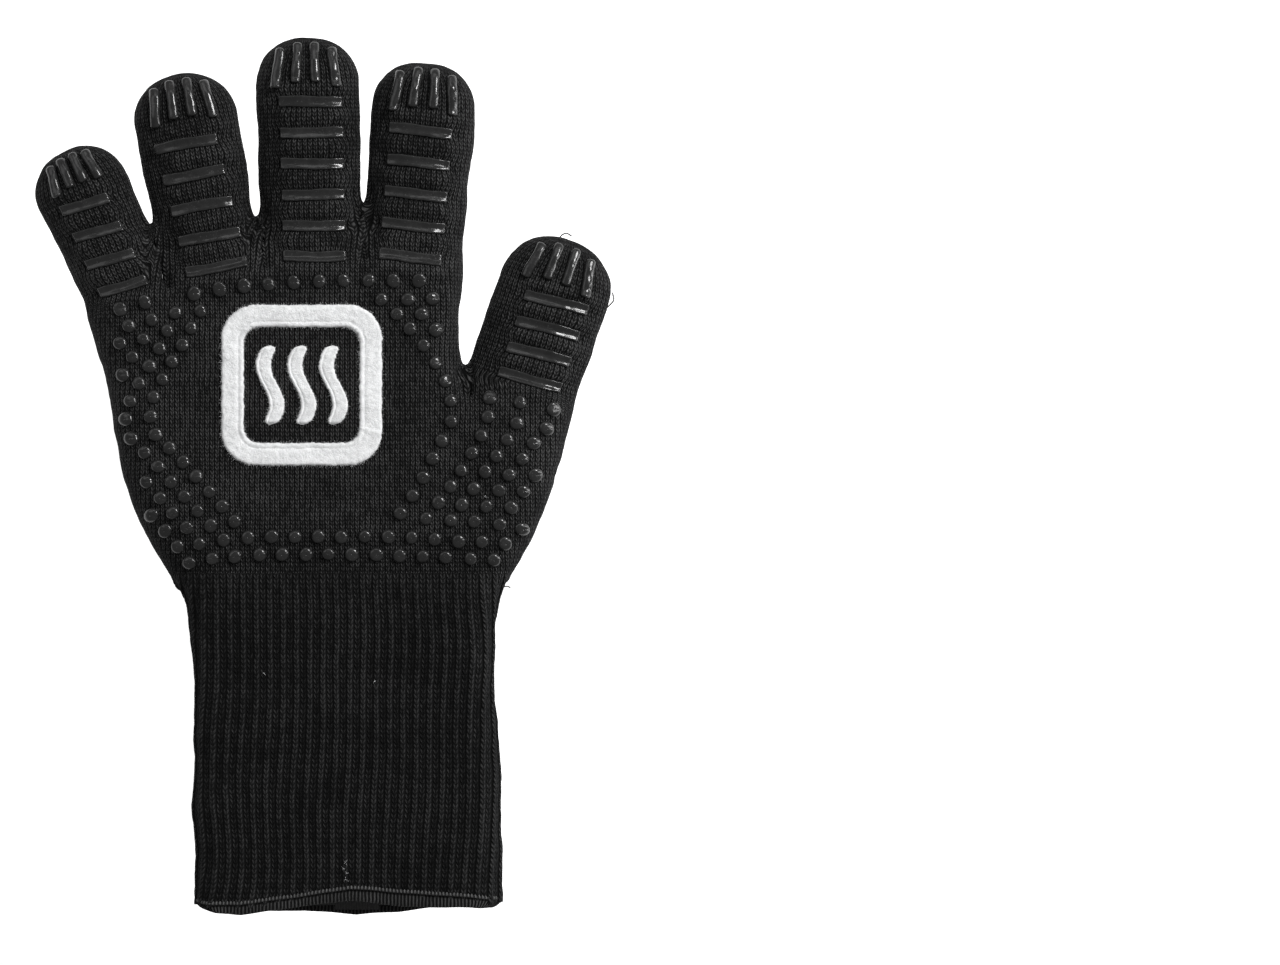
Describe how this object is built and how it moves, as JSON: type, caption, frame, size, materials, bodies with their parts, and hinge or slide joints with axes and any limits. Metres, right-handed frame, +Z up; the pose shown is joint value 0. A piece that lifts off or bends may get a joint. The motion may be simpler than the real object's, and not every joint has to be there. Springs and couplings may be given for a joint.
{
  "type": "heat resistant glove",
  "caption": "Knitted five-finger glove with a long ribbed cuff, a soft lining, raised silicone grip bars and dots, and a felt badge on the back.",
  "frame": {"origin": "centre of the glove's bounding box, on the surface that it lies on", "axes": "+X towards the thumb, +Y towards the fingertips, +Z up through the back of the hand"},
  "size_m": [0.2174, 0.335, 0.025],
  "materials": {
    "knit": "matte knitted aramid yarn",
    "lining": "matte cotton knit",
    "silicone": "satin",
    "felt": "matte felt",
    "label": "matte woven tape"
  },
  "bodies": {
    "hand": {"hand_shell": "knit", "hand_liner": "lining", "wrist_band": "knit", "back_dots": "silicone", "palm_dots": "silicone", "badge_frame": "felt", "heat_wave_left": "felt", "heat_wave_middle": "felt", "heat_wave_right": "felt", "pinky_knuckle_sleeve": "knit", "ring_knuckle_sleeve": "knit", "middle_knuckle_sleeve": "knit", "index_knuckle_sleeve": "knit", "thumb_knuckle_sleeve": "knit"},
    "cuff": {"cuff_rib": "knit", "cuff_hem": "knit", "cuff_liner": "lining", "care_label": "label"},
    "pinky_base": {"pinky_base_shell": "knit", "pinky_middle_sleeve": "knit", "pinky_liner": "lining", "pinky_back_bars": "silicone", "pinky_palm_bars": "silicone"},
    "pinky_tip": {"pinky_tip_shell": "knit", "pinky_back_tip_ribs": "silicone", "pinky_palm_tip_ribs": "silicone"},
    "ring_base": {"ring_base_shell": "knit", "ring_middle_sleeve": "knit", "ring_liner": "lining", "ring_back_bars": "silicone", "ring_palm_bars": "silicone"},
    "ring_tip": {"ring_tip_shell": "knit", "ring_back_tip_ribs": "silicone", "ring_palm_tip_ribs": "silicone"},
    "middle_base": {"middle_base_shell": "knit", "middle_middle_sleeve": "knit", "middle_liner": "lining", "middle_back_bars": "silicone", "middle_palm_bars": "silicone"},
    "middle_tip": {"middle_tip_shell": "knit", "middle_back_tip_ribs": "silicone", "middle_palm_tip_ribs": "silicone"},
    "index_base": {"index_base_shell": "knit", "index_middle_sleeve": "knit", "index_liner": "lining", "index_back_bars": "silicone", "index_palm_bars": "silicone"},
    "index_tip": {"index_tip_shell": "knit", "index_back_tip_ribs": "silicone", "index_palm_tip_ribs": "silicone"},
    "thumb_base": {"thumb_base_shell": "knit", "thumb_middle_sleeve": "knit", "thumb_liner": "lining", "thumb_back_bars": "silicone", "thumb_palm_bars": "silicone"},
    "thumb_tip": {"thumb_tip_shell": "knit", "thumb_back_tip_ribs": "silicone", "thumb_palm_tip_ribs": "silicone"}
  },
  "joints": [
    {"name": "wrist_bend", "type": "hinge", "parent": "hand", "child": "cuff", "pos_m": [0.008, -0.043, 0.012], "axis": [1, 0, 0], "range_deg": [-35, 40], "stiffness_Nm_per_rad": 0.3, "deforming": ["wrist_band"]},
    {"name": "pinky_knuckle", "type": "hinge", "parent": "hand", "child": "pinky_base", "pos_m": [-0.07685, 0.08254, 0.01105], "axis": [-0.9511, -0.309, 0], "range_deg": [-20, 60], "stiffness_Nm_per_rad": 0.06, "deforming": ["pinky_knuckle_sleeve", "pinky_liner", "pinky_back_bars"]},
    {"name": "pinky_middle_joint", "type": "hinge", "parent": "pinky_base", "child": "pinky_tip", "pos_m": [-0.08381, 0.10394, 0.01105], "axis": [-0.9511, -0.309, 0], "range_deg": [-10, 60], "stiffness_Nm_per_rad": 0.03, "deforming": ["pinky_middle_sleeve", "pinky_liner", "pinky_back_bars"]},
    {"name": "ring_knuckle", "type": "hinge", "parent": "hand", "child": "ring_base", "pos_m": [-0.04169, 0.09135, 0.01105], "axis": [-0.9945, -0.1045, 0], "range_deg": [-20, 60], "stiffness_Nm_per_rad": 0.06, "deforming": ["ring_knuckle_sleeve", "ring_liner", "ring_back_bars"]},
    {"name": "ring_middle_joint", "type": "hinge", "parent": "ring_base", "child": "ring_tip", "pos_m": [-0.04478, 0.12069, 0.01105], "axis": [-0.9945, -0.1045, 0], "range_deg": [-10, 60], "stiffness_Nm_per_rad": 0.03, "deforming": ["ring_middle_sleeve", "ring_liner", "ring_back_bars"]},
    {"name": "middle_knuckle", "type": "hinge", "parent": "hand", "child": "middle_base", "pos_m": [-0.0043, 0.0977, 0.01105], "axis": [-1, 0, 0], "range_deg": [-20, 60], "stiffness_Nm_per_rad": 0.06, "deforming": ["middle_knuckle_sleeve", "middle_liner", "middle_back_bars"]},
    {"name": "middle_middle_joint", "type": "hinge", "parent": "middle_base", "child": "middle_tip", "pos_m": [-0.0043, 0.1302, 0.01105], "axis": [-1, 0, 0], "range_deg": [-10, 60], "stiffness_Nm_per_rad": 0.03, "deforming": ["middle_middle_sleeve", "middle_liner", "middle_back_bars"]},
    {"name": "index_knuckle", "type": "hinge", "parent": "hand", "child": "index_base", "pos_m": [0.033, 0.098, 0.01105], "axis": [-1, 0, 0], "range_deg": [-20, 60], "stiffness_Nm_per_rad": 0.06, "deforming": ["index_knuckle_sleeve", "index_liner", "index_back_bars"]},
    {"name": "index_middle_joint", "type": "hinge", "parent": "index_base", "child": "index_tip", "pos_m": [0.033, 0.126, 0.01105], "axis": [-1, 0, 0], "range_deg": [-10, 60], "stiffness_Nm_per_rad": 0.03, "deforming": ["index_middle_sleeve", "index_liner", "index_back_bars"]},
    {"name": "thumb_knuckle", "type": "hinge", "parent": "hand", "child": "thumb_base", "pos_m": [0.07885, 0.04698, 0.01105], "axis": [-0.9466, 0.3223, 0], "range_deg": [-15, 45], "stiffness_Nm_per_rad": 0.06, "deforming": ["thumb_knuckle_sleeve", "thumb_liner", "thumb_back_bars"]},
    {"name": "thumb_middle_joint", "type": "hinge", "parent": "thumb_base", "child": "thumb_tip", "pos_m": [0.08642, 0.06923, 0.01105], "axis": [-0.9466, 0.3223, 0], "range_deg": [-10, 50], "stiffness_Nm_per_rad": 0.03, "deforming": ["thumb_middle_sleeve", "thumb_liner", "thumb_back_bars"]}
  ]
}
